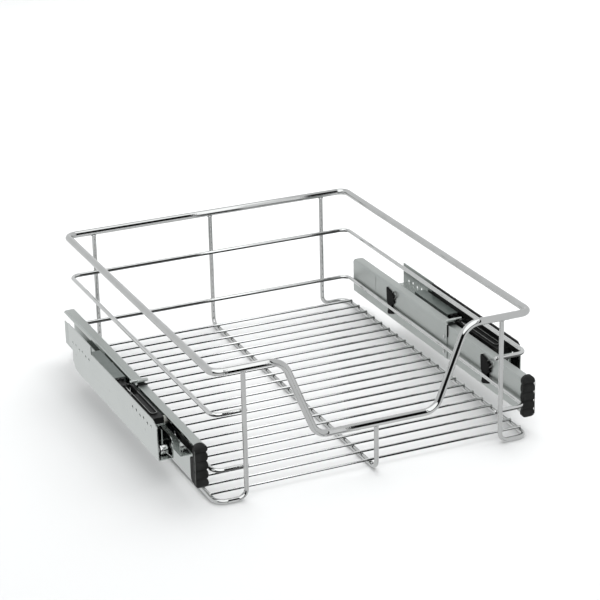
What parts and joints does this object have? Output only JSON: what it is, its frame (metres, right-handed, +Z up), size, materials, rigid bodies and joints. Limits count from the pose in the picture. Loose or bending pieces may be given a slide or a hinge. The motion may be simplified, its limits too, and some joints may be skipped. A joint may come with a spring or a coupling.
{
  "type": "pull-out cabinet basket",
  "caption": "Open wire basket with a dipped front rim, clipped to a pair of side-mounted telescopic runners with soft-close units.",
  "frame": {"origin": "on the floor under the middle of the basket, at the level of the bottom of its bottom rails", "axes": "+X to the right seen from the front, +Y to the back of the cabinet, +Z up; the basket pulls out along -Y"},
  "size_m": [0.4636, 0.4984, 0.162],
  "materials": {
    "chrome_wire": "bright chrome plate on steel wire",
    "zinc_sheet": "bright zinc plate on folded steel sheet",
    "black_plastic": "moulded black plastic, half matt",
    "dark_steel": "dark grey cover, satin",
    "bright_steel": "plated steel pins and rivets",
    "chrome_roller": "polished steel roller",
    "nylon": "natural nylon"
  },
  "bodies": {
    "cabinet_rails": {"left_mounting_plate": "zinc_sheet", "left_guide_rail": "zinc_sheet", "left_rail_rivets": "bright_steel", "left_front_axle": "bright_steel", "left_damper_housing": "black_plastic", "left_damper_cylinder": "bright_steel", "left_catch_spring": "bright_steel", "left_damper_cover": "dark_steel", "right_mounting_plate": "zinc_sheet", "right_guide_rail": "zinc_sheet", "right_rail_rivets": "bright_steel", "right_front_axle": "bright_steel", "right_damper_housing": "black_plastic", "right_damper_cylinder": "bright_steel", "right_catch_spring": "bright_steel", "right_damper_cover": "dark_steel"},
    "basket": {"rim": "chrome_wire", "middle_ring": "chrome_wire", "lower_ring": "chrome_wire", "side_frame_left": "chrome_wire", "side_frame_right": "chrome_wire", "centre_frame": "chrome_wire", "floor_wires": "chrome_wire", "left_channel_rear": "zinc_sheet", "left_channel_front": "zinc_sheet", "left_channel_rivets": "bright_steel", "left_wire_clips": "black_plastic", "left_end_cap": "black_plastic", "right_channel_rear": "zinc_sheet", "right_channel_front": "zinc_sheet", "right_channel_rivets": "bright_steel", "right_wire_clips": "black_plastic", "right_end_cap": "black_plastic"},
    "left_intermediate": {"left_intermediate_rail": "zinc_sheet", "left_roller_pins": "bright_steel"},
    "left_front_slot_roller_body": {"left_front_slot_roller": "nylon"},
    "left_rear_slot_roller_body": {"left_rear_slot_roller": "nylon"},
    "left_rear_roller_body": {"left_rear_roller": "nylon"},
    "left_front_roller_body": {"left_front_roller": "chrome_roller"},
    "left_catch": {"left_damper_catch": "black_plastic", "left_damper_rod": "bright_steel"},
    "right_intermediate": {"right_intermediate_rail": "zinc_sheet", "right_roller_pins": "bright_steel"},
    "right_front_slot_roller_body": {"right_front_slot_roller": "nylon"},
    "right_rear_slot_roller_body": {"right_rear_slot_roller": "nylon"},
    "right_rear_roller_body": {"right_rear_roller": "nylon"},
    "right_front_roller_body": {"right_front_roller": "chrome_roller"},
    "right_catch": {"right_damper_catch": "black_plastic", "right_damper_rod": "bright_steel"}
  },
  "joints": [
    {"name": "basket_slide", "type": "slide", "parent": "cabinet_rails", "child": "basket", "axis": [0, -1, 0], "range_m": [-0.012, 0.33]},
    {"name": "left_intermediate_slide", "type": "slide", "parent": "cabinet_rails", "child": "left_intermediate", "axis": [0, -1, 0], "range_m": [-0.006, 0.165]},
    {"name": "left_front_slot_roller_spin", "type": "hinge", "parent": "left_intermediate", "child": "left_front_slot_roller_body", "pos_m": [-0.2086, -0.12605, 0.05815], "axis": [1, 0, 0], "continuous": true},
    {"name": "left_rear_slot_roller_spin", "type": "hinge", "parent": "left_intermediate", "child": "left_rear_slot_roller_body", "pos_m": [-0.2086, 0.04395, 0.05815], "axis": [1, 0, 0], "continuous": true},
    {"name": "left_rear_roller_spin", "type": "hinge", "parent": "left_intermediate", "child": "left_rear_roller_body", "pos_m": [-0.2256, 0.12595, 0.0347], "axis": [1, 0, 0], "continuous": true},
    {"name": "left_front_roller_spin", "type": "hinge", "parent": "cabinet_rails", "child": "left_front_roller_body", "pos_m": [-0.2211, -0.15105, 0.0345], "axis": [1, 0, 0], "continuous": true},
    {"name": "left_catch_slide", "type": "slide", "parent": "cabinet_rails", "child": "left_catch", "axis": [0, -1, 0], "range_m": [0, 0.03], "deforming": ["left_catch_spring"]},
    {"name": "right_intermediate_slide", "type": "slide", "parent": "cabinet_rails", "child": "right_intermediate", "axis": [0, -1, 0], "range_m": [-0.006, 0.165]},
    {"name": "right_front_slot_roller_spin", "type": "hinge", "parent": "right_intermediate", "child": "right_front_slot_roller_body", "pos_m": [0.2086, -0.12605, 0.05815], "axis": [1, 0, 0], "continuous": true},
    {"name": "right_rear_slot_roller_spin", "type": "hinge", "parent": "right_intermediate", "child": "right_rear_slot_roller_body", "pos_m": [0.2086, 0.04395, 0.05815], "axis": [1, 0, 0], "continuous": true},
    {"name": "right_rear_roller_spin", "type": "hinge", "parent": "right_intermediate", "child": "right_rear_roller_body", "pos_m": [0.2256, 0.12595, 0.0347], "axis": [1, 0, 0], "continuous": true},
    {"name": "right_front_roller_spin", "type": "hinge", "parent": "cabinet_rails", "child": "right_front_roller_body", "pos_m": [0.2211, -0.15105, 0.0345], "axis": [1, 0, 0], "continuous": true},
    {"name": "right_catch_slide", "type": "slide", "parent": "cabinet_rails", "child": "right_catch", "axis": [0, -1, 0], "range_m": [0, 0.03], "deforming": ["right_catch_spring"]}
  ],
  "couplings": [
    {"joint": "left_intermediate_slide", "follows": "basket_slide", "ratio": 0.5},
    {"joint": "right_intermediate_slide", "follows": "basket_slide", "ratio": 0.5}
  ]
}
